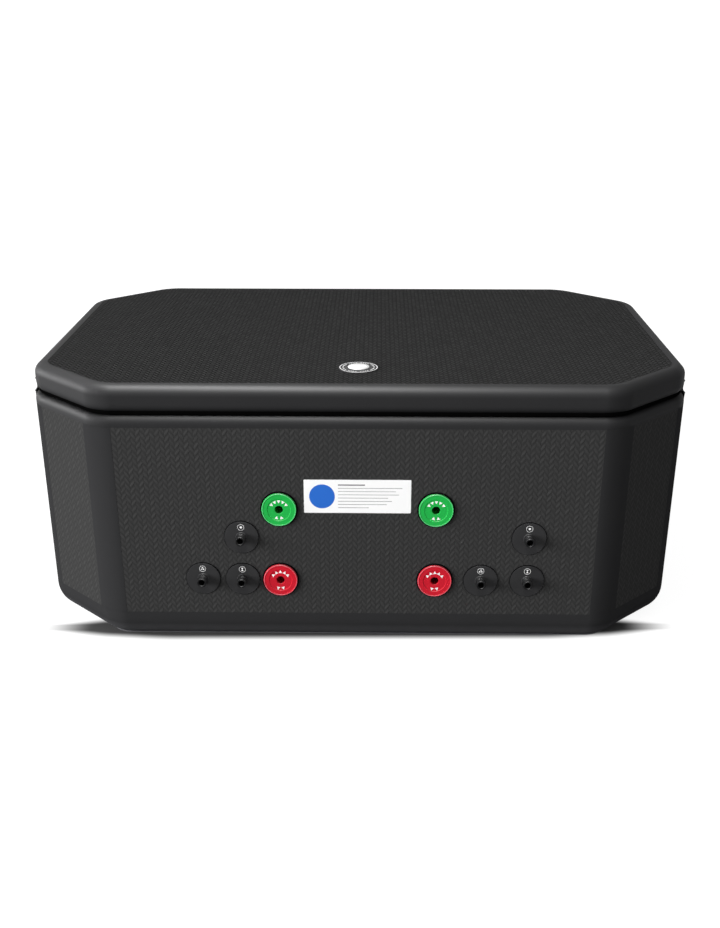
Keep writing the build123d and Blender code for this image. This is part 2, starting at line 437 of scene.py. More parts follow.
def gap_shade_painted(made):
    """Paints shade into a tape's colour where the lid meets the rim: it fades to black there, where no light
    gets in.
    """
    tree = made.node_tree
    base = tree.nodes["Principled BSDF"].inputs["Base Color"]
    height = node(tree, "SeparateXYZ", node(tree, "TexCoord").outputs["Object"]).outputs["Z"]
    sides = [
        node(tree, "MapRange", height, WALL_TOP + start, WALL_TOP + end, **EASED)
        for start, end in (GAP_LOW, GAP_HIGH)
    ]
    outside_gap_shade = node(tree, "Math MAXIMUM", *sides)
    mix = node(tree, "Mix", outside_gap_shade, data_type="RGBA", _6=linear("000000"), _7=base.links[0].from_socket)
    tree.links.new(mix.outputs[2], base)


gap_shade_painted(smooth_pvc)
# The same tape rubbed dull at the corners: an even dark grey that turns darker away from the light
dull_pvc = grained("dull_welded_pvc_tape", "2F2F30", 0.75, 2.2 * MM, 0.02 * MM, 0.04, specular=0.0)


def trimmed(obj, plane_co, plane_no):
    """Cuts away what lies beyond a plane."""
    edit(obj)
    bpy.ops.mesh.select_all(action="SELECT")
    bpy.ops.mesh.bisect(plane_co=plane_co, plane_no=plane_no, clear_outer=True, use_fill=False)
    bpy.ops.object.mode_set(mode="OBJECT")


def thickened(obj, thickness):
    """Gives a piece this thickness, outwards, or inwards where it is negative."""
    modified(obj, "SOLIDIFY", thickness=thickness, offset=1.0, use_even_offset=True)


def keep_faces(obj, test):
    """Deletes the faces that don't pass the test."""
    edit(obj)
    pick("faces", lambda f: not test(f))
    bpy.ops.mesh.delete(type="FACE")
    bpy.ops.object.mode_set(mode="OBJECT")


rim_band = copied(wall_template, "rim_band")
trimmed(rim_band, (0, 0, RIM_BAND_LOW), (0, 0, -1))
thickened(rim_band, TAPE_T)
foot_band = copied(wall_template, "foot_band")
trimmed(foot_band, (0, 0, FOOT_BAND_TOP), (0, 0, 1))
trimmed(foot_band, (0, 0, FOOT_BAND_LOW), (0, 0, -1))
keep_faces(foot_band, lambda f: not on_inside(f.calc_center_median()))
thickened(foot_band, TAPE_T)


def slanted(normal):
    """True where a normal lies between the eight directions of the panels."""
    turn = math.degrees(math.atan2(normal.y, normal.x)) % EIGHTH
    return min(turn, EIGHTH - turn) > 0.5


def beside_corner(point):
    """True on a corner panel, within the tape's reach of either of its ends."""
    along = ((abs(point.x) - LENGTH / 2) - (abs(point.y) - DEPTH / 2)) / math.sqrt(2)
    near_end = along > CORNER_HALF - SIDE_REACH or along < FRONT_REACH - CORNER_HALF
    return abs(point.x) + abs(point.y) > CORNER_SUM and near_end


corner_tapes = copied(wall_template, "corner_tapes")
trimmed(corner_tapes, (0, 0, RIM_BAND_LOW + WELD_OVERLAP), (0, 0, 1))
trimmed(corner_tapes, (0, 0, FOOT_BAND_TOP - WELD_OVERLAP), (0, 0, -1))
edit(corner_tapes)
for way in (1, -1):
    for end in (1, -1):
        for step, reach in ((1, SIDE_REACH), (-1, FRONT_REACH)):
            bpy.ops.mesh.select_all(action="SELECT")
            at = end * (CORNER_MID + step * (CORNER_HALF - reach))
            plane = Vector((1, way, 0)) / math.sqrt(2)
            bpy.ops.mesh.bisect(plane_co=plane * at, plane_no=plane, use_fill=False)
bpy.ops.object.mode_set(mode="OBJECT")
keep_faces(corner_tapes, lambda f: not on_inside(f.calc_center_median())
           and (slanted(f.normal) or beside_corner(f.calc_center_median())))
thickened(corner_tapes, TAPE_T)
bpy.data.objects.remove(wall_template)
# Painted light on the foot's tape: where it curves under it turns a paler grey towards the ground, unevenly,
# standing in for light thrown up from the floor
BOUNCE_TOP, BOUNCE_LOW, BOUNCE_BLOTCH = 44 * MM, 10 * MM, 30 * MM
foot_bounce_pvc = grained("pvc_foot_tape_painted_bounce", "2F2F30", 0.75, 2.2 * MM, 0.02 * MM, 0.04, specular=0.0)
tree = foot_bounce_pvc.node_tree
place = node(tree, "TexCoord").outputs["Object"]
low = node(tree, "MapRange", node(tree, "SeparateXYZ", place).outputs["Z"], BOUNCE_TOP, BOUNCE_LOW)
bounce_blotch = node(tree, "TexNoise", Vector=place, Scale=1 / BOUNCE_BLOTCH, Detail=4.0)
uneven = node(tree, "Math MULTIPLY_ADD", bounce_blotch, 0.4, 0.8)
painted_bounce = node(tree, "Math MULTIPLY", low, uneven)
base = tree.nodes["Principled BSDF"].inputs["Base Color"]
bounce_mix = node(tree, "Mix", painted_bounce, data_type="RGBA", _6=base.links[0].from_socket, _7=linear("4E4E50"))
tree.links.new(bounce_mix.outputs[2], base)
for band, finish in ((rim_band, smooth_pvc), (foot_band, foot_bounce_pvc), (corner_tapes, dull_pvc)):
    smooth(band)
    finish_piece(band, finish, "tub")

# Ground sheet: the tub's underside, one flat sheet of thick PVC that takes the wear of the ground.
# It is welded on inside the foot band, with a rounded edge where it stops.
SHEET_INSET, SHEET_T, SHEET_EDGE_R = 36 * MM, 2 * MM, 0.8 * MM
ground_sheet = eight_sided("ground_sheet", SHEET_INSET, 0, SHEET_T)
pick("edges", upright)
round_off(CORNER_R - SHEET_INSET, EDGE_STEPS, EIGHTH)
pick("edges", lambda e: level(e, 0))
round_off(SHEET_EDGE_R, 2)
done()
smooth(ground_sheet)
# Thick unglossed PVC: a mid grey that sends some light back up under the foot's curve
sheet_pvc = grained("thick_pvc_ground_sheet", "606064", 0.5, 1.5 * MM, 0.05 * MM)
finish_piece(ground_sheet, sheet_pvc, "tub")

# Water ports: four moulded nylon flanges, two green for the inlets and two red for the outlets.
# Each is turned in one piece with its threaded sleeve, and has a rim bead, a shallow dish and a
# chamfered mouth. White arrowheads, pad-printed, point in on the inlets and out on the outlets.
FACETS = 96
FLANGE_R, BEAD_R, DISH_FLOOR = 41.3 * MM, 39 * MM, 5.2 * MM
PRINT_T = 0.15 * MM
MARK_R, MARK_SIZE, TOP_MARKS, LOW_MARKS = 21.6 * MM, 4.9 * MM, (-54, -27, 0, 27, 54), (164, 196)
STAND = {"front": (math.pi / 2, 0, 0), "back": (-math.pi / 2, 0, 0), "up": (0, 0, 0)}


def turned(name, profile, bored=False):
    """A piece turned about Z: a ring extruded and resized from point to point of (radius, height) in mm."""
    points = [(r * MM, z * MM) for r, z in profile]
    radius, height = points[0]
    alone()
    fill = "NOTHING" if bored else "NGON"
    at = (0, 0, height)
    bpy.ops.mesh.primitive_circle_add(vertices=FACETS, radius=radius, location=at, fill_type=fill)
    obj = added(name)
    edit(obj)
    bpy.ops.mesh.select_mode(type="VERT")
    bpy.ops.mesh.select_all(action="SELECT")
    for next_radius, next_height in points[1:] + points[:1] * bored:
        bpy.ops.mesh.extrude_region_move(TRANSFORM_OT_translate={"value": (0, 0, next_height - height)})
        k = next_radius / radius
        bpy.ops.transform.resize(value=(k, k, 1), center_override=(0, 0, next_height))
        radius, height = next_radius, next_height
    bpy.ops.mesh.select_all(action="SELECT")
    bpy.ops.mesh.remove_doubles(threshold=1e-6)
    done()
    return obj


def eased(obj, width, segments=2):
    """Rounds a piece's sharp edges, as a mould or a cutter leaves them."""
    sharp = math.radians(40)
    modified(obj, "BEVEL", width=width, segments=segments, limit_method="ANGLE", angle_limit=sharp)
    smooth(obj)


def put(obj, facing, x, y, z):
    """Turns a piece that was made pointing up the way it faces, and moves it to its place."""
    alone(obj)
    obj.matrix_world = Matrix.Identity(4)
    obj.rotation_euler = STAND[facing]
    obj.location = (x, y, z)
    settle()


def arrowhead(turn, inwards):
    """A triangle printed in the dish, turned about the port's axis, that points to it or away."""
    base, way = (0, 0, DISH_FLOOR + PRINT_T / 2), (0, 0, math.pi * inwards)
    mark = rod("mark", 3, MARK_SIZE, PRINT_T, base, way)
    mark.location = (0, MARK_R, 0)
    settle()
    mark.rotation_euler = (0, 0, turn)
    settle()
    return mark


# Nylon coloured in the mould: full green and red, satin, with hardly any grain
green_nylon = grained("moulded_green_nylon", "1EAD48", 0.5, 1.2 * MM, 0.02 * MM, 0.04, specular=0.06)
red_nylon = grained("moulded_red_nylon", "C4192B", 0.5, 1.2 * MM, 0.02 * MM, 0.04, specular=0.06)
# The bead is glossier, and its colour is painted paler as a painted highlight: its edge shows as a paler
# line round the flange
green_rim_highlight = grained("green_nylon_painted_rim_highlight", "5ECB82", 0.35, 1.2 * MM, 0.01 * MM, 0.04, specular=0.2)
red_rim_highlight = grained("red_nylon_painted_rim_highlight", "D8636F", 0.35, 1.2 * MM, 0.01 * MM, 0.04, specular=0.2)
# Pad-printed ink: flat opaque white
white_ink = grained("pad_printed_white_ink", "F4F4F4", 0.5, 0.8 * MM, 0.01 * MM, 0.02)
# Moulded EPDM rubber: black without a sheen. It also paints shade along the outer edge of the spigot plates
black_epdm_and_edge_shade = grained("epdm_rubber_and_painted_edge_shade", "0C0C0D", 0.8, 1.0 * MM, 0.03 * MM, specular=0.0)
flange_profile = [
    (10, 0.5), (10, 4.6), (11, 5.2), (27.2, 5.2), (28.4, 6.3), (38, 6.3), (38.8, 7.1), (40.4, 7.1),
    (41.3, 6.2), (41.3, 0), (19.8, 0), (19.8, -146), (13, -146), (13, 0.5),
]
port = turned("water_port", flange_profile, bored=True)
eased(port, 0.25 * MM)
gasket_profile = [(19.8, -1.5), (19.8, 1.8), (44.2, 1.8), (44.8, 1.2), (44.8, -1.5)]
gasket = turned("port_gasket", gasket_profile, bored=True)
eased(gasket, 0.2 * MM)
for kind, places, nylon, slot_name in (
    ("inlet", INLETS, [green_nylon, green_rim_highlight], "green_plastic"),
    ("outlet", OUTLETS, [red_nylon, red_rim_highlight], "red_plastic"),
):
    for side, (x, z) in zip(("left", "right"), places):
        flange = copied(port, f"{kind}_flange_{side}")
        put(flange, "front", x, FRONT_Y, z)
        finish_piece(flange, nylon, "tub", [f"{kind}_ports"])
        for face in flange.data.polygons:
            off_axis = math.hypot(face.center.x - x, face.center.z - z)
            on_bead = BEAD_R < off_axis < FLANGE_R - 0.5 * MM and face.normal.y < -0.5
            face.material_index = 1 if on_bead else 0
        seal = copied(gasket, f"{kind}_gasket_{side}")
        put(seal, "front", x, FRONT_Y, z)
        finish_piece(seal, black_epdm_and_edge_shade, "tub")
        marks = [arrowhead(math.radians(turn), kind == "inlet") for turn in TOP_MARKS + LOW_MARKS]
        print_ring = joined(marks, f"{kind}_flow_marks_{side}")
        put(print_ring, "front", x, FRONT_Y, z)
        finish_piece(print_ring, white_ink, "tub")
bpy.data.objects.remove(port)
bpy.data.objects.remove(gasket)

# Nuts and strainers: each sleeve is held inside the bath by a hexagon nut, and a slotted disc
# clips over the sleeves that water leaves by. Both are moulded and keep their CAD form.

# Moulded nylon: near black, with a fine mould grain
dark_nylon = grained("moulded_dark_nylon", "1E1E20", 0.48, 1.2 * MM, 0.03 * MM)
for name in ("port_nuts", "outlet_strainers"):
    coat(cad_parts[name], dark_nylon)

# Hose spigots: six black moulded plates, welded to the wall, each with a hose tail on it.
# The tail has a collar, a groove and a rounded tip ring, and its bore ends at the wall's skin.
# A small sign in a ring is pad-printed above each: a dot, a pair of triangles or three blades.
SPIGOTS = [
    (-280, 280, "dot"), (-281, 169, "pair"), (-378, 170, "blades"),
    (412, 280, "dot"), (413, 168, "pair"), (300, 168, "blades"),
]
SIGN_UP, DOT_R = 26 * MM, 2.9 * MM
PAIR_R, PAIR_OFF, BLADE_R, BLADE_OFF = 3.4 * MM, 2.5 * MM, 2.7 * MM, 2.8 * MM
TAIL_R, PLATE_R, PLATE_T, PLATE_EDGE_SHADE = 13 * MM, 42.5 * MM, 2.4 * MM, 1.2 * MM
# Moulded nylon: charcoal like the skin on the plate, and near black on the tail, both almost matt
plate_nylon = grained("moulded_charcoal_nylon", "2C2C2D", 0.6, 1.2 * MM, 0.03 * MM, 0.05, specular=0.05)
black_nylon = grained("moulded_black_nylon", "131314", 0.55, 1.2 * MM, 0.03 * MM, 0.05, specular=0.04)
spigot_profile = [
    (7.4, 2.4), (7.4, 28.8), (8.4, 30), (10.6, 30), (11.4, 29), (11.4, 22.2), (10.6, 21), (10.2, 20.4),
    (10.2, 16.2), (10.8, 15.2), (12, 15), (12.6, 14.2), (12.6, 10.6), (12.2, 10), (12.6, 9.4), (12.6, 4.2),
    (13.6, 2.5), (39.4, 2.4), (40, 1.9), (40.7, 2.4), (41.7, 2.4), (42.5, 1.6), (42.5, -1), (7.4, -1),
]
spigot = turned("hose_spigot", spigot_profile, bored=True)
bore_end = turned("bore_end", [(7.6, 1.2), (7.6, 1.8)])
spigot = joined([spigot, bore_end], "hose_spigot")
eased(spigot, 0.15 * MM)


def disc(radius, sides=48, at=(0, 0), turn=0.0):
    """A printed spot or polygon on a plate."""
    return rod("mark", sides, radius, PRINT_T, (*at, PLATE_T + PRINT_T / 2), (0, 0, turn))


def sign(kind):
    """The ring of a sign with what stands in it, centred above the tail."""
    low, high = PLATE_T / MM, (PLATE_T + PRINT_T) / MM
    ring = turned("ring", [(7.3, low), (8.1, low), (8.1, high), (7.3, high)], bored=True)
    ring.location = (0, SIGN_UP, 0)
    settle()
    if kind == "dot":
        marks = [disc(DOT_R, at=(0, SIGN_UP))]
    elif kind == "pair":
        marks = [disc(PAIR_R, 3, (0, SIGN_UP + way * PAIR_OFF), math.pi * (way > 0)) for way in (-1, 1)]
    else:
        marks = []
        for a in (math.radians(turn) for turn in (90, 210, 330)):
            marks.append(disc(BLADE_R, 3, (BLADE_OFF * math.cos(a), SIGN_UP + BLADE_OFF * math.sin(a)), a))
    return joined([ring] + marks, "sign")


for number, (x, z, kind) in enumerate(SPIGOTS, 1):
    tail = copied(spigot, f"hose_spigot_{number}")
    put(tail, "front", x * MM, FRONT_Y, z * MM)
    finish_piece(tail, [plate_nylon, black_nylon, black_epdm_and_edge_shade], "tub", ["spigots"])
    for face in tail.data.polygons:
        off_axis = math.hypot(face.center.x - x * MM, face.center.z - z * MM)
        # The plate's outer edge is coloured black, as painted shade along its rim
        face.material_index = 1 if off_axis < TAIL_R else 2 if off_axis > PLATE_R - PLATE_EDGE_SHADE else 0
    printed = sign(kind)
    printed.name = f"spigot_sign_{number}"
    put(printed, "front", x * MM, FRONT_Y, z * MM)
    finish_piece(printed, white_ink, "tub")
bpy.data.objects.remove(spigot)

# Label: a plate of white vinyl film, stuck to the front between the inlets.
# It is printed with a plain blue spot, a bold bar and thin ruled lines.
LABEL_X, LABEL_Z, LABEL_W, LABEL_H, LABEL_T = 0.0, 386 * MM, 254 * MM, 84 * MM, 0.7 * MM
LABEL_CORNER_R = 2 * MM
PANEL_Y = FRONT_Y + TAPE_T
SPOT_X, INK_T = -84 * MM, 0.1 * MM
# Printed vinyl film: clean white with a slight gloss
white_vinyl = grained("printed_white_vinyl", "F6F6F6", 0.45, 0.8 * MM, 0.01 * MM, 0.01)
# Screen-printed inks: flat strong blue, and grey
blue_ink = grained("printed_blue_ink", "0F62C4", 0.5, 0.8 * MM, 0.01 * MM, 0.02, specular=0.2)
grey_ink = grained("printed_grey_ink", "6A6A6C", 0.5, 0.8 * MM, 0.01 * MM, 0.02)


def slab(name, x, y, z, wide, deep, high):
    """A block with this middle and these sizes."""
    alone()
    bpy.ops.mesh.primitive_cube_add(size=1, location=(x, y, z), scale=(wide, deep, high))
    return added(name)


label = slab("label_plate", LABEL_X, PANEL_Y - LABEL_T / 2, LABEL_Z, LABEL_W, LABEL_T, LABEL_H)
edit(label)
pick("edges", lambda e: abs(e.verts[0].co.y - e.verts[1].co.y) > LABEL_T / 2)
round_off(LABEL_CORNER_R, 4)
done()
eased(label, 0.15 * MM)
finish_piece(label, white_vinyl, "tub")
LABEL_FACE = PANEL_Y - LABEL_T
spot = turned("label_spot", [(30.4, 0), (30.4, 0.1)])
put(spot, "front", SPOT_X, LABEL_FACE, LABEL_Z)
finish_piece(spot, blue_ink, "tub")
RULE_LEFT, RULE_LONG, RULE_UP, RULE_STEP = -46 * MM, 152 * MM, 29 * MM, 8.2 * MM
HEADING_H, RULE_H = 3.2 * MM, 1.3 * MM
rules = []
for row, share in enumerate((0.42, 1.0, 0.9, 0.95, 0.78, 0.84, 0.76, 0.48)):
    high = RULE_H if row else HEADING_H
    long = share * RULE_LONG
    rule_z = LABEL_Z + RULE_UP - row * RULE_STEP
    rules.append(slab("rule", RULE_LEFT + long / 2, LABEL_FACE - INK_T / 2, rule_z, long, INK_T, high))
ruled = joined(rules, "label_rules")
finish_piece(ruled, grey_ink, "tub")

# Wall valve: the inflation valve of the ring, on the back, out of sight in use.
# A flange is welded to the skin, a well with a sprung pin screws into it, and a plug cap closes it.

# Moulded nylon: near black and almost matt for the valve, white with a soft gloss for its cap
valve_nylon = grained("moulded_dark_valve_nylon", "111112", 0.6, 1.2 * MM, 0.03 * MM, specular=0.05)
cap_nylon = grained("moulded_white_nylon", "EDEDEC", 0.35, 1.2 * MM, 0.02 * MM, 0.02)
# Drawn stainless wire: bright, with a fine drawn grain
steel = grained("drawn_spring_steel", "B9BABC", 0.3, 0.6 * MM, 0.01 * MM, metallic=1.0)
DASHES, GAP_EVERY = 40, 5
DASH_R, DASH_Z, DASH_SIZE = 37.6 * MM, 2.05 * MM, (3.4 * MM, 2.2 * MM, 0.12 * MM)
COIL_R, WIRE_R, COIL_STEPS = 4.9 * MM, 0.45 * MM, 28


def valve_flange(name):
    """The welded ring with its raised rim, its printed line and its printed dashes."""
    profile = [
        (20.4, -1.2), (20.4, 1.6), (20.8, 2), (29.4, 2), (30, 1.5), (30.6, 2), (46.6, 2), (47.5, 1.3),
        (47.5, -1.2),
    ]
    ring = turned(name, profile, bored=True)
    eased(ring, 0.15 * MM)
    line = turned("line", [(44.3, 1.9), (45.7, 1.9), (45.7, 2.12), (44.3, 2.12)], bored=True)
    dashes = []
    for k in range(DASHES):
        if k % GAP_EVERY:
            dash = slab("dash", 0, DASH_R, DASH_Z, *DASH_SIZE)
            dash.rotation_euler = (0, 0, math.radians(360 / DASHES * k))
            settle()
            dashes.append(dash)
    return ring, joined([line] + dashes, name + "_print")


def valve_cap(name, seat):
    """A plug cap with a gently domed face and a low bar to turn it by. It rests at the seat, in mm."""
    cap = turned(name, [
        (19.2, -8), (19.6, -7.4), (19.6, seat), (25, seat), (25.5, seat + 0.6), (25.5, seat + 1.5),
        (24.6, seat + 2.1), (18, seat + 2.5), (9, seat + 2.7), (1, seat + 2.75),
    ])
    bar = slab("bar", 0, 0, (seat + 2.1) * MM, 36 * MM, 7 * MM, 2.8 * MM)
    eased(bar, 1.1 * MM, 4)
    cap = joined([cap, bar], name)
    smooth(cap)
    return cap


def pin(name, low):
    """The push pin's stem and head, drawn from a height in mm up."""
    made = turned(name, [(3, low), (3, -12), (6, -12), (6.3, -11.6), (6.3, -9.5), (5.6, -9), (1, -8.9)])
    smooth(made)
    return made


def coil(name, low, high, turns):
    """A compression spring of round wire, wound up from one height to another, in mm."""
    alone()
    bpy.ops.curve.primitive_bezier_curve_add()
    obj = bpy.context.object
    obj.name = name
    curve = obj.data
    curve.splines.clear()
    line = curve.splines.new("POLY")
    steps = COIL_STEPS * turns
    line.points.add(steps)
    for k, point in enumerate(line.points):
        angle = 2 * math.pi * turns * k / steps
        height = (low + (high - low) * k / steps) * MM
        point.co = (COIL_R * math.cos(angle), COIL_R * math.sin(angle), height, 1)
    curve.bevel_depth = WIRE_R
    curve.bevel_resolution = 3
    curve.use_fill_caps = True
    bpy.ops.object.convert(target="MESH")
    bpy.ops.object.shade_smooth()
    return obj


flange, flange_print = valve_flange("wall_valve_flange")
well = turned("wall_valve_well", [(19.9, -19.8), (19.9, -18.6)])
tube = turned("tube", [(19.9, -19.8), (19.9, 2), (20.4, 2), (20.4, -19.8)], bored=True)
well = joined([well, tube], "wall_valve_well")
smooth(well)
for piece, nylon, slot_name in (
    (flange, valve_nylon, "grey_plastic"),
    (flange_print, white_ink, "white_plastic"),
    (well, valve_nylon, "grey_plastic"),
    (pin("wall_valve_pin", -18.6), valve_nylon, "grey_plastic"),
    (coil("wall_valve_coil", -18.1, -12.5, 2), steel, "valve_spring"),
):
    put(piece, "back", VALVE_X, BACK_Y, VALVE_Z)
    finish_piece(piece, nylon, "tub")
wall_cap = valve_cap("wall_valve_plug", 2)
put(wall_cap, "back", VALVE_X, BACK_Y, VALVE_Z)
finish_piece(wall_cap, cap_nylon, "wall_valve_cap", ["wall_valve_cap"])

# Lid: a second drop-stitch board, 68 mm thick, laid loose on the rim to keep the bath cold and clean.
# Its top skin has the tub's herringbone, and its underside is smooth.
# It is a block of the tub's plan, a little smaller, rounded all round, with a pocket for its valve.
LID_INSET, LID_TOP = 4 * MM, 650 * MM
LID_CORNER_R, LID_EDGE_R, LID_CORNER_STEPS, LID_EDGE_STEPS = 95 * MM, 25 * MM, 8, 10
LID_BAND, PANEL_AREA = 33 * MM, 0.5
LID_VALVE = (0, -380 * MM)
POCKET_R, POCKET_LOW = 24.2 * MM, 600 * MM
# The same embossed PVC, drawn in deeper relief so that its strokes still show at a flat angle, with stronger
# painted light on its strokes and painted shade in its gaps, and no darker left-leaning columns
lid_weave = herringbone(
    "herringbone_embossed_pvc_lid", "3B3B3B", 0.6, lying=True, depth=1.6 * MM, contrast=1.7, lean_shade=0.0
)
lid = eight_sided("drop_stitch_lid", LID_INSET + TAPE_T, WALL_TOP + TAPE_T, LID_TOP - TAPE_T)
pick("edges", upright)
round_off(LID_CORNER_R, LID_CORNER_STEPS, EIGHTH)
pick("edges", lambda e: level(e, WALL_TOP + TAPE_T) or level(e, LID_TOP - TAPE_T))
round_off(LID_EDGE_R - TAPE_T, LID_EDGE_STEPS)
for way in (1, -1):
    pick("faces", lambda f: f.normal.z * way > FLAT and f.calc_area() > PANEL_AREA)
    bpy.ops.mesh.inset(thickness=LID_BAND - LID_EDGE_R, use_even_offset=True)
done()
lid_band = copied(lid, "lid_band")
for face in lid.data.polygons:
    face.material_index = 0 if face.normal.z > 0 else 1
cut_round(lid, POCKET_R, Vector((*LID_VALVE, LID_TOP + CLEAR)), Vector((*LID_VALVE, POCKET_LOW)))
smooth(lid)
finish_piece(lid, [lid_weave, inner_pvc], "lid", ["lid_chamber"])

# Lid band: smooth PVC tape, 0.3 mm thick, welded over both seams of the lid's edge.
# It is wrapped round the whole edge and ends 33 mm in, on the top and underneath.
keep_faces(lid_band, lambda f: f.calc_area() < PANEL_AREA)
thickened(lid_band, TAPE_T)
smooth(lid_band)
finish_piece(lid_band, smooth_pvc, "lid")

# Painted shade: a strip of dead black under the lid, all round, just inside its edge, where the gap between
# lid and tub lies in shade. It rests on the rim and makes the black line between lid and tub.
GAP_SHADE_IN, GAP_SHADE_LOW, GAP_SHADE_HIGH, GAP_SHADE_W = 10.5 * MM, WALL_TOP + TAPE_T, 592 * MM, 9 * MM
# Dead black without a sheen: painted shade, so that the gap reads as one dark line
gap_shade_black = grained("black_painted_gap_shade", "060606", 0.95, 1.5 * MM, 0.1 * MM, specular=0.0)
painted_gap_shade_strip = eight_sided("painted_gap_shade_strip", GAP_SHADE_IN, GAP_SHADE_LOW, GAP_SHADE_HIGH)
pick("edges", upright)
round_off(LID_CORNER_R - GAP_SHADE_IN, LID_CORNER_STEPS, EIGHTH)
pick("faces", lambda f: abs(f.normal.z) > 0.9)
bpy.ops.mesh.delete(type="FACE")
done()
thickened(painted_gap_shade_strip, -GAP_SHADE_W)
smooth(painted_gap_shade_strip)
finish_piece(painted_gap_shade_strip, gap_shade_black, "lid")

# Lid valve: the same inflation valve as the wall's, on the lid's top near its front edge.
# The well and the push pin keep their CAD form. The coil spring is drawn in round steel wire, and the white
# cap is turned by its bar.
for name in ("lid_valve_well", "lid_valve_pin"):
    coat(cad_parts[name], valve_nylon)
SPIDER_TOP, HEAD_LOW, PUSH, WIRE_ROOM = -23, -12, 6, 0.5
lid_flange, lid_flange_print = valve_flange("lid_valve_flange")
lid_coil = coil("lid_valve_coil", SPIDER_TOP + WIRE_ROOM, HEAD_LOW - WIRE_ROOM, 3)
lid_cap = valve_cap("lid_valve_plug", 2.1)
for piece, nylon, body, slot_name, stands_for in (
    (lid_flange, valve_nylon, "lid", "grey_plastic", ()),
    (lid_flange_print, white_ink, "lid", "white_plastic", ()),
    (lid_coil, steel, "lid", "valve_spring", ["lid_valve_spring"]),
    (lid_cap, cap_nylon, "lid_valve_cap", "white_plastic", ["lid_valve_cap"]),
):
    put(piece, "up", *LID_VALVE, LID_TOP)
    finish_piece(piece, nylon, body, stands_for)
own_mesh(lid_coil)

# Lid straps: four tongues of black webbing, 38 mm wide, that hold the lid down over its gap.
# Each hangs from a hem sewn on the lid's side, folds in over the gap, and sticks to a loop patch
# sewn on the tub. Hems and patches are stitched round with thick thread.
LID_SIDE = LENGTH / 2 - LID_INSET
STRAP_Y, STRAP_W, WEB_T, WEB_EDGE_R = 300 * MM, 38 * MM, 1.8 * MM, 0.5 * MM
HINGE_OUT, HINGE_Z, ROLL_R = 2.8, 604.4, 2.4
STRAP_LINE = [
    (2.8, 605.5), (2.4, 600), (1.5, 592), (0.9, 586.5), (1.5, 582), (3.4, 578.2), (5.6, 575.6), (7.1, 571.5),
    (6.6, 565), (6.3, 552), (6.3, 540), (6.1, 529.5),
]
FOLD_AT, FOLD_R = (7.0, 573.4), 2.0
INNER_FOLD = (-3.2, 582.6, 4.4)
HEM_T, HEM_LOW, HEM_HIGH, HEM_SUNK = 1.4 * MM, 607.5 * MM, 624.5 * MM, 0.2 * MM
TUCK_IN, TUCK_Z, TUCK_SIZE = 5.5 * MM, 597 * MM, (12 * MM, 36 * MM, 18 * MM)
PATCH_T, PATCH_LOW, PATCH_HIGH = 1.2 * MM, 503 * MM, 551 * MM
SEWN_MARGIN, STITCH_IN, STITCH, STITCH_STEP, THREAD_R = 4 * MM, 3 * MM, 3.2 * MM, 4.4 * MM, 0.4 * MM


def woven(name, code, rib, depth, roughness=0.8):
    """Webbing: ribs across and warp along it, with a slight sheen."""
    made, tree, shader = material(name, code, roughness)
    shader.inputs["Sheen Weight"].default_value = 0.15
    at = node(tree, "SeparateXYZ", node(tree, "TexCoord").outputs["Object"])
    ribs = []
    for axis in ("Y", "Z"):
        turns = node(tree, "Math MULTIPLY", at.outputs[axis], 2 * math.pi / rib)
        ribs.append(node(tree, "Math SINE", turns))
    crossed = node(tree, "Math MULTIPLY", *ribs)
    weave = node(tree, "Math MULTIPLY_ADD", crossed, 0.5, 0.5)
    surfaced(tree, shader, weave, depth, code, weave, 0.7, 1.3)
    return made


def webbing(name, line, thickness):
    """A ribbon of the strap's width that follows a line of (out from the lid's side, height) in mm."""
    alone()
    (out, height), rest = line[0], line[1:]
    at = Vector((LID_SIDE + out * MM, 0, height * MM))
    bpy.ops.mesh.primitive_plane_add(size=STRAP_W, location=at, rotation=(0, math.pi / 2, 0))
    obj = added(name)
    edit(obj)
    pick("verts", lambda v: v.co.z > at.z)
    bpy.ops.mesh.delete(type="VERT")
    bpy.ops.mesh.select_all(action="SELECT")
    bpy.ops.transform.translate(value=(0, 0, STRAP_W / 2))
    for next_out, next_height in rest:
        step = ((next_out - out) * MM, 0, (next_height - height) * MM)
        bpy.ops.mesh.extrude_region_move(TRANSFORM_OT_translate={"value": step})
        out, height = next_out, next_height
    done()
    modified(obj, "SOLIDIFY", thickness=thickness, offset=0)
    modified(obj, "BEVEL", width=WEB_EDGE_R, segments=2, limit_method="ANGLE", angle_limit=math.radians(60))
    modified(obj, "SUBSURF", levels=2, render_levels=2)
    bpy.ops.object.shade_smooth()
    return obj


def roll(name, out, height, radius):
    """A rolled edge of webbing, lying along the strap's width."""
    at, turn = (LID_SIDE + out * MM, 0, height * MM), (math.pi / 2, 0, 0)
    obj = rod(name, 24, radius * MM, STRAP_W - 1 * MM, at, turn)
    eased(obj, 0.6 * MM, 3)
    return obj


def stitched(name, x, low, high):
    """Thick stitches round a sewn piece, just inside its edge."""
    half, stitches = (STRAP_W + SEWN_MARGIN) / 2 - STITCH_IN, []
    low, high = low + STITCH_IN, high - STITCH_IN
    corners = [(-half, low), (half, low), (half, high), (-half, high)]
    for (y0, z0), (y1, z1) in zip(corners, corners[1:] + corners[:1]):
        side = Vector((0, y1 - y0, z1 - z0))
        turn = (0 if abs(side.z) > abs(side.y) else math.pi / 2, 0, 0)
        count = round(side.length / STITCH_STEP)
        for k in range(count):
            at = Vector((x, y0, z0)) + side * ((k + 0.5) / count)
            stitches.append(rod("stitch", 6, THREAD_R, STITCH, at, turn))
    made = joined(stitches, name)
    bpy.ops.object.shade_smooth()
    return made


# Woven polypropylene: black ribs with a faint sheen, drawn coarser than the real thread to show at all
strap_web = woven("woven_polypropylene_webbing", "141415", 1.8 * MM, 0.35 * MM)
# Loop pile: a dull fuzzy black that mottles
loop_pile = grained("loop_fastener_pile", "121213", 0.95, 1.4 * MM, 0.5 * MM, 0.3)
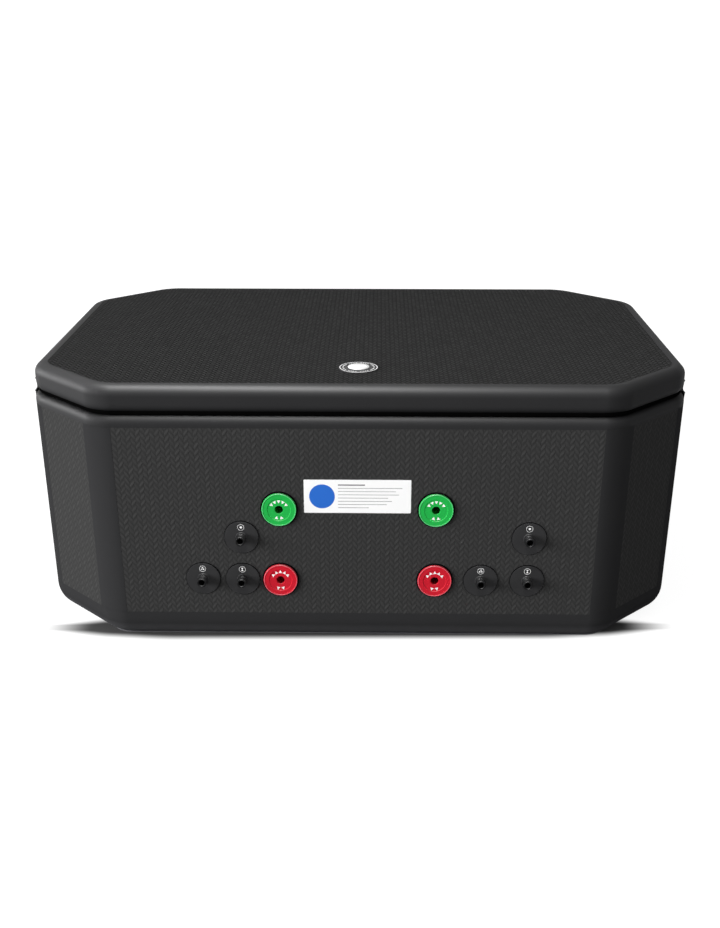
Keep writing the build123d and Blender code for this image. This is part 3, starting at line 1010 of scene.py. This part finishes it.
# Bonded nylon thread: a twisted cord, a shade lighter than the webbing that it sews
thread = woven("bonded_nylon_thread", "1B1B1C", 0.8 * MM, 0.1 * MM, 0.6)
tongue = joined([webbing("tongue", STRAP_LINE, WEB_T), roll("top_roll", HINGE_OUT, HINGE_Z, ROLL_R),
                 roll("fold", *FOLD_AT, FOLD_R), roll("inner_fold", *INNER_FOLD)], "tongue")
HEM_Z, PATCH_Z = (HEM_LOW + HEM_HIGH) / 2, (PATCH_LOW + PATCH_HIGH) / 2
SEWN_W, HEM_H, PATCH_H = STRAP_W + SEWN_MARGIN, HEM_HIGH - HEM_LOW, PATCH_HIGH - PATCH_LOW
hem = slab("hem", LID_SIDE + HEM_T / 2 - HEM_SUNK, 0, HEM_Z, HEM_T, SEWN_W, HEM_H)
eased(hem, 0.5 * MM, 3)
tuck = slab("tuck", LID_SIDE - TUCK_IN, 0, TUCK_Z, *TUCK_SIZE)
eased(tuck, 2 * MM, 4)
hem = joined([hem, tuck], "hem")
patch = slab("patch", LENGTH / 2 + PATCH_T / 2 - TAPE_T, 0, PATCH_Z, PATCH_T + TAPE_T, SEWN_W, PATCH_H)
eased(patch, 0.8 * MM, 3)
hem_stitches = stitched("hem_stitches", LID_SIDE + HEM_T - HEM_SUNK, HEM_LOW, HEM_HIGH)
patch_stitches = stitched("patch_stitches", LENGTH / 2 + PATCH_T - TAPE_T / 2, PATCH_LOW, PATCH_HIGH)
for end, y in (("front", -STRAP_Y), ("back", STRAP_Y)):
    for side, turn in (("right", 0), ("left", math.pi)):
        key = f"{end}_{side}"
        for model, name, finish, body, stands_for in (
            (tongue, "strap_tongue", strap_web, f"strap_{key}", [f"strap_{key}"]),
            (hem, "strap_hem_webbing", strap_web, "lid", [f"strap_hem_{key}"]),
            (hem_stitches, "strap_hem_stitches", thread, "lid", ()),
            (patch, "loop_patch_pile", loop_pile, "tub", [f"loop_patch_{key}"]),
            (patch_stitches, "loop_patch_stitches", thread, "tub", ()),
        ):
            piece = copied(model, f"{name}_{key}")
            alone(piece)
            piece.rotation_euler = (0, 0, turn)
            piece.location = (0, y, 0)
            settle()
            finish_piece(piece, finish, body, stands_for)
for model in (tongue, hem, patch, hem_stitches, patch_stitches):
    bpy.data.objects.remove(model)

# Studio: the tub stands on a round white sweep, lit softly from the left and from above. The sweep looks
# white to the camera and in reflections, with a shadow painted into it right under the tub's foot.
SWEEP_R, SWEEP_H, BELOW = 24, 4.4, -0.3 * MM
alone()
bpy.ops.mesh.primitive_circle_add(vertices=96, radius=SWEEP_R, fill_type="NGON", location=(0, 0, BELOW))
floor = added("studio_sweep")
edit(floor)
bpy.ops.mesh.select_mode(type="EDGE")
bpy.ops.mesh.select_all(action="SELECT")
bpy.ops.mesh.extrude_edges_move(TRANSFORM_OT_translate={"value": (0, 0, SWEEP_H)})
bpy.ops.object.mode_set(mode="OBJECT")

# White paper that glows white to the camera and in reflections, without a sheen, with a painted shadow of
# the tub where its glow and its colour are dark. The painted shadow ends under the foot's edge, and a soft
# line of it runs out a little past both ends.
FOOT_X, FOOT_Y, FOOT_SUM = (742 * MM, 772 * MM), (492 * MM, 520 * MM), (1075 * MM, 1115 * MM)
LINE_SLOPE, LINE_Y, LINE_SOFT = 0.019, -478.5 * MM, (22 * MM, 61 * MM)
LINE_WIDER, LINE_NARROWER = (450 * MM, 680 * MM, 17 * MM, 0.0), (620 * MM, 830 * MM, 0.0, 42 * MM)
LINE_END, GLOW_REACH, GLOW_NEAR, GLOW_FAR = (675 * MM, 830 * MM), (2.0, 6.0), 0.9, 0.97
paper, tree, shader = material("white_sweep_painted_shadow", "FFFFFF", 0.9, specular=0.0)
at = node(tree, "SeparateXYZ", node(tree, "TexCoord").outputs["Object"])
away_x, away_y = (node(tree, "Math ABSOLUTE", at.outputs[axis]) for axis in ("X", "Y"))
both_ways = node(tree, "Math ADD", away_x, away_y)
past_x = node(tree, "MapRange", away_x, *FOOT_X, **EASED)
past_y = node(tree, "MapRange", away_y, *FOOT_Y, **EASED)
outside = node(tree, "Math MAXIMUM", past_x, past_y)
past_corner = node(tree, "MapRange", both_ways, *FOOT_SUM, **EASED)
outside = node(tree, "Math MAXIMUM", outside, past_corner)
line_y = node(tree, "Math MULTIPLY_ADD", at.outputs["X"], LINE_SLOPE, LINE_Y)
off_line = node(tree, "Math SUBTRACT", at.outputs["Y"], line_y)
off_line = node(tree, "Math ABSOLUTE", off_line)
wider, narrower = (node(tree, "MapRange", away_x, *way, **EASED) for way in (LINE_WIDER, LINE_NARROWER))
off_line = node(tree, "Math SUBTRACT", off_line, wider)
off_line = node(tree, "Math ADD", off_line, narrower)
past_end = node(tree, "MapRange", away_x, *LINE_END, **EASED)
past_line = node(tree, "MapRange", off_line, *LINE_SOFT, **EASED)
beside = node(tree, "Math MAXIMUM", past_end, past_line)
lit = node(tree, "Math MINIMUM", outside, beside)
glow = node(tree, "MapRange", both_ways, *GLOW_REACH, GLOW_NEAR, GLOW_FAR, **EASED)
glow = node(tree, "Math MULTIPLY", lit, glow)


def seen_directly(tree):
    """1 for a ray from the camera or in a reflection, and 0 for light that falls on pieces."""
    rays = node(tree, "LightPath").outputs
    seen = node(tree, "Math MAXIMUM", rays["Is Camera Ray"], rays["Is Glossy Ray"])
    return node(tree, "Math MAXIMUM", seen, rays["Is Transmission Ray"])


glow = node(tree, "Math MULTIPLY", glow, seen_directly(tree))
shader.inputs["Emission Color"].default_value = linear("FFFFFF")
# Painted shadow in the paper's colour too: darker grey inside it, lighter outside
shade = node(tree, "Mix", lit, data_type="RGBA", _6=linear("595959"), _7=linear("A0A0A0"))
tree.links.new(shade.outputs[2], shader.inputs["Base Color"])
tree.links.new(glow.outputs[0], shader.inputs["Emission Strength"])
floor.data.materials.append(paper)

# The dome looks white behind the tub and lights it only faintly
SKY_LEVEL = 0.3
world = bpy.data.worlds.new("studio_dome")
bpy.context.scene.world = world
world.use_nodes = True
tree = world.node_tree
sky = tree.nodes["Background"]
sky.inputs["Color"].default_value = linear("FFFFFF")
strength = node(tree, "Math MULTIPLY_ADD", seen_directly(tree), 1 - SKY_LEVEL, SKY_LEVEL)
tree.links.new(strength.outputs[0], sky.inputs["Strength"])


def softbox(name, place, aim, wide, high, power):
    """A rectangular area lamp that faces a point."""
    lamp = bpy.data.lights.new(name, "AREA")
    lamp.shape, lamp.size, lamp.size_y, lamp.energy = "RECTANGLE", wide, high, power
    obj = bpy.data.objects.new(name, lamp)
    bpy.context.collection.objects.link(obj)
    obj.location = place
    obj.rotation_euler = (Vector(aim) - Vector(place)).to_track_quat("-Z", "Y").to_euler()
    return obj


# Each lamp's place, the point that it faces, its width and height, and its power in watts
softbox("left_key", (-11.8, -5.8, 3.6), (0, 0, 0.3), 9.0, 6.0, 3100)
softbox("right_fill", (5.4, -4.6, 2.2), (0, 0, 0.3), 3.0, 1.8, 70)
softbox("top_soft", (0, -0.6, 3.0), (0, -0.3, 0.5), 2.4, 1.4, 10)
# These two draw only the streaks of light on the tapes
streaks = [
    softbox("top_gloss", (-0.5, -0.78, 3.0), (-0.15, -0.6, 0.6), 2.0, 0.4, 3400),
    softbox("left_gloss", (-4.5, 0.5, 1.35), (-0.7, -0.45, 0.6), 1.6, 1.0, 800),
]
for lamp in streaks:
    lamp.visible_diffuse = False

# Where the photograph was taken from, and its height and focal length in pixels
PHOTO_H, FOCAL_PX, SENSOR, RAISED = 928, 1193, 36, 0.13
CAMERA_AT, CAMERA_DOWN, CAMERA_LEFT = (0.0455, -3.1852, 1.4235), 25.71, 0.858
camera_data = bpy.data.cameras.new("camera")
camera_data.lens = SENSOR * FOCAL_PX / PHOTO_H
camera_data.sensor_width = SENSOR
camera_data.shift_y = RAISED
camera = bpy.data.objects.new("camera", camera_data)
bpy.context.collection.objects.link(camera)
camera.location = CAMERA_AT
camera.rotation_euler = (math.radians(90 - CAMERA_DOWN), 0, math.radians(CAMERA_LEFT))
bpy.context.scene.camera = camera
bpy.context.scene.view_settings.view_transform = "Standard"
